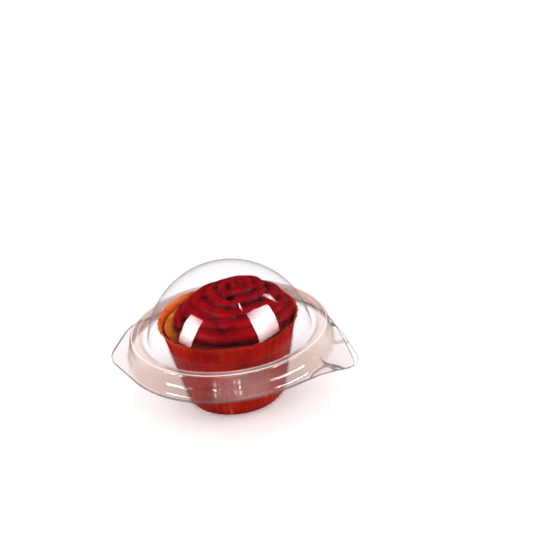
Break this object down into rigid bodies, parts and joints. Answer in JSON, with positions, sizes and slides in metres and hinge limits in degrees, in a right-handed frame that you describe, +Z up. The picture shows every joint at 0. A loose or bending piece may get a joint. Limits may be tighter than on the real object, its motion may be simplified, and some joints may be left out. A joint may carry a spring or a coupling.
{
  "type": "hinged cupcake blister pack",
  "caption": "Clear thermoformed pack with a domed lid hinged to a cup-shaped tray, closed over a frosted cupcake in a pleated paper case.",
  "frame": {"origin": "centre of the tray's flat underside, where the pack stands", "axes": "+Z up along the cup's axis, +X from the hinge towards the tips of the leaf-shaped flanges"},
  "size_m": [0.1269, 0.1092, 0.0714],
  "materials": {
    "tray_film": "clear glossy film",
    "hinge_film": "clear glossy film, creased",
    "lid_film": "clear glossy film",
    "case_paper": "thin matt baking paper",
    "sponge_crumb": "baked crumb",
    "red_frosting": "piped frosting with a soft sheen"
  },
  "bodies": {
    "tray_body": {"tray": "tray_film", "living_hinge": "hinge_film", "paper_case": "case_paper", "sponge": "sponge_crumb", "frosting": "red_frosting"},
    "lid_body": {"lid": "lid_film"}
  },
  "joints": [
    {"name": "lid_hinge", "type": "hinge", "parent": "tray_body", "child": "lid_body", "pos_m": [-0.06046, 0, 0.02785], "axis": [0, -1, 0], "range_deg": [0, 155]}
  ]
}
